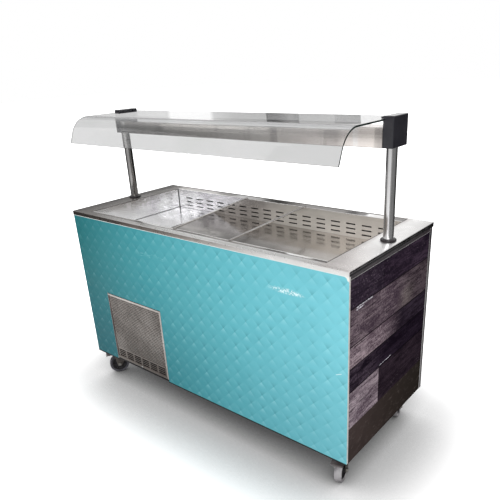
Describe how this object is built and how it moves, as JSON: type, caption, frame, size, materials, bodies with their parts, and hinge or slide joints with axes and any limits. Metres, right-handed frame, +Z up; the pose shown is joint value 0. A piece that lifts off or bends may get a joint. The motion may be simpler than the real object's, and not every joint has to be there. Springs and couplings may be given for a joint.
{
  "type": "mobile salad bar",
  "caption": "Mobile refrigerated salad bar: boxed cabinet on swivel castors, stainless worktop with a sunken slotted well, and a curved sneeze glass on a post-mounted canopy.",
  "frame": {"origin": "on the floor, under the middle of the worktop", "axes": "+X along the counter's length, towards the end without the grille, seen from the front at the right; -Y towards the customer; +Z up"},
  "size_m": [1.52, 0.64, 1.33],
  "materials": {
    "steel_sheet": "brushed stainless",
    "well_steel": "bright stainless",
    "foam": null,
    "front_decor": "board with printed turquoise quilted decor",
    "plank_decor": "board with printed grey plank decor",
    "plinth_board": "dark board",
    "black_trim": "satin black",
    "galvanised": "galvanised",
    "grille_steel": "satin stainless",
    "screw_steel": "bright",
    "polished_tube": "mirror polished",
    "black_gloss": "gloss black",
    "collar_dark": "satin dark grey",
    "opal": "opal",
    "glass": "clear, slightly grey",
    "castor_steel": "zinc plated",
    "tyre_grey": "grey",
    "hub_dark": "dark grey",
    "pedal": "dark grey",
    "fin_metal": "bare",
    "fan_plastic": "black",
    "machine_black": "semi-gloss black",
    "switch_green": "gloss green"
  },
  "bodies": {
    "cabinet": {"worktop": "steel_sheet", "well_tank": "well_steel", "well_insulation": "foam", "air_duct_rear": "well_steel", "air_duct_front": "well_steel", "plate_bearers": "well_steel", "front_panel": "front_decor", "end_panels": "plank_decor", "plinth_panels": "plinth_board", "end_trims": "black_trim", "rear_panel": "steel_sheet", "chassis_frame": "galvanised", "base_tray": "galvanised", "grille_frame": "grille_steel", "grille_panel": "grille_steel", "grille_screw": "screw_steel", "gantry_post_left": "polished_tube", "end_cap_left": "black_gloss", "gantry_post_right": "polished_tube", "end_cap_right": "black_gloss", "post_collars": "collar_dark", "gantry_beam": "steel_sheet", "lamp_diffuser": "opal", "sneeze_glass": "glass", "castor_plates": "castor_steel", "castor_bolts": "castor_steel", "evaporator": "fin_metal", "evaporator_motors": "machine_black", "condenser": "fin_metal", "fan_shroud": "galvanised", "compressor": "machine_black", "control_fascia": "black_trim", "thermostat": "black_trim", "mains_gland": "black_trim"},
    "castor_front_left": {"castor_fork_front_left": "castor_steel", "castor_axle_front_left": "castor_steel"},
    "wheel_front_left": {"castor_tyre_front_left": "tyre_grey", "castor_hub_front_left": "hub_dark"},
    "brake_front_left": {"brake_pedal_front_left": "pedal"},
    "castor_front_right": {"castor_fork_front_right": "castor_steel", "castor_axle_front_right": "castor_steel"},
    "wheel_front_right": {"castor_tyre_front_right": "tyre_grey", "castor_hub_front_right": "hub_dark"},
    "brake_front_right": {"brake_pedal_front_right": "pedal"},
    "castor_rear_left": {"castor_fork_rear_left": "castor_steel", "castor_axle_rear_left": "castor_steel"},
    "wheel_rear_left": {"castor_tyre_rear_left": "tyre_grey", "castor_hub_rear_left": "hub_dark"},
    "castor_rear_right": {"castor_fork_rear_right": "castor_steel", "castor_axle_rear_right": "castor_steel"},
    "wheel_rear_right": {"castor_tyre_rear_right": "tyre_grey", "castor_hub_rear_right": "hub_dark"},
    "base_plate_left": {"base_plate_left": "well_steel"},
    "base_plate_right": {"base_plate_right": "well_steel"},
    "pan_bar_left": {"pan_support_bar_left": "well_steel"},
    "pan_bar_right": {"pan_support_bar_right": "well_steel"},
    "condenser_fan": {"condenser_fan": "fan_plastic"},
    "evaporator_fan_left": {"evaporator_fan_left": "fan_plastic"},
    "evaporator_fan_right": {"evaporator_fan_right": "fan_plastic"},
    "power_switch": {"power_switch": "switch_green"}
  },
  "joints": [
    {"name": "swivel_front_left", "type": "hinge", "parent": "cabinet", "child": "castor_front_left", "pos_m": [-0.685, -0.218, 0.13], "axis": [0, 0, 1], "continuous": true},
    {"name": "roll_front_left", "type": "hinge", "parent": "castor_front_left", "child": "wheel_front_left", "pos_m": [-0.70196, -0.24514, 0.05], "axis": [0.848, -0.5299, 0], "continuous": true},
    {"name": "brake_front_left", "type": "hinge", "parent": "castor_front_left", "child": "brake_front_left", "pos_m": [-0.70991, -0.25786, 0.1127], "axis": [0.848, -0.5299, 0], "range_deg": [0, 15]},
    {"name": "swivel_front_right", "type": "hinge", "parent": "cabinet", "child": "castor_front_right", "pos_m": [0.685, -0.218, 0.13], "axis": [0, 0, 1], "continuous": true},
    {"name": "roll_front_right", "type": "hinge", "parent": "castor_front_right", "child": "wheel_front_right", "pos_m": [0.69328, -0.24891, 0.05], "axis": [0.9659, 0.2588, 0], "continuous": true},
    {"name": "brake_front_right", "type": "hinge", "parent": "castor_front_right", "child": "brake_front_right", "pos_m": [0.69716, -0.2634, 0.1127], "axis": [0.9659, 0.2588, 0], "range_deg": [0, 15]},
    {"name": "swivel_rear_left", "type": "hinge", "parent": "cabinet", "child": "castor_rear_left", "pos_m": [-0.685, 0.218, 0.13], "axis": [0, 0, 1], "continuous": true},
    {"name": "roll_rear_left", "type": "hinge", "parent": "castor_rear_left", "child": "wheel_rear_left", "pos_m": [-0.701, 0.24571, 0.05], "axis": [-0.866, -0.5, 0], "continuous": true},
    {"name": "swivel_rear_right", "type": "hinge", "parent": "cabinet", "child": "castor_rear_right", "pos_m": [0.685, 0.218, 0.13], "axis": [0, 0, 1], "continuous": true},
    {"name": "roll_rear_right", "type": "hinge", "parent": "castor_rear_right", "child": "wheel_rear_right", "pos_m": [0.67726, 0.24905, 0.05], "axis": [-0.9703, -0.2419, 0], "continuous": true},
    {"name": "lift_base_plate_left", "type": "slide", "parent": "cabinet", "child": "base_plate_left", "axis": [0, 0, 1], "range_m": [0, 0.09]},
    {"name": "lift_base_plate_right", "type": "slide", "parent": "cabinet", "child": "base_plate_right", "axis": [0, 0, 1], "range_m": [0, 0.09]},
    {"name": "shift_pan_bar_left", "type": "slide", "parent": "cabinet", "child": "pan_bar_left", "axis": [1, 0, 0], "range_m": [-0.47, 0.14]},
    {"name": "shift_pan_bar_right", "type": "slide", "parent": "cabinet", "child": "pan_bar_right", "axis": [1, 0, 0], "range_m": [-0.14, 0.41]},
    {"name": "spin_condenser_fan", "type": "hinge", "parent": "cabinet", "child": "condenser_fan", "pos_m": [-0.395, -0.2108, 0.323], "axis": [0, 1, 0], "continuous": true},
    {"name": "spin_evaporator_fan_left", "type": "hinge", "parent": "cabinet", "child": "evaporator_fan_left", "pos_m": [-0.3, 0.252, 0.742], "axis": [0, 1, 0], "continuous": true},
    {"name": "spin_evaporator_fan_right", "type": "hinge", "parent": "cabinet", "child": "evaporator_fan_right", "pos_m": [0.3, 0.252, 0.742], "axis": [0, 1, 0], "continuous": true},
    {"name": "tip_power_switch", "type": "hinge", "parent": "cabinet", "child": "power_switch", "pos_m": [-0.445, 0.3081, 0.6], "axis": [1, 0, 0], "range_deg": [-14, 0]}
  ]
}
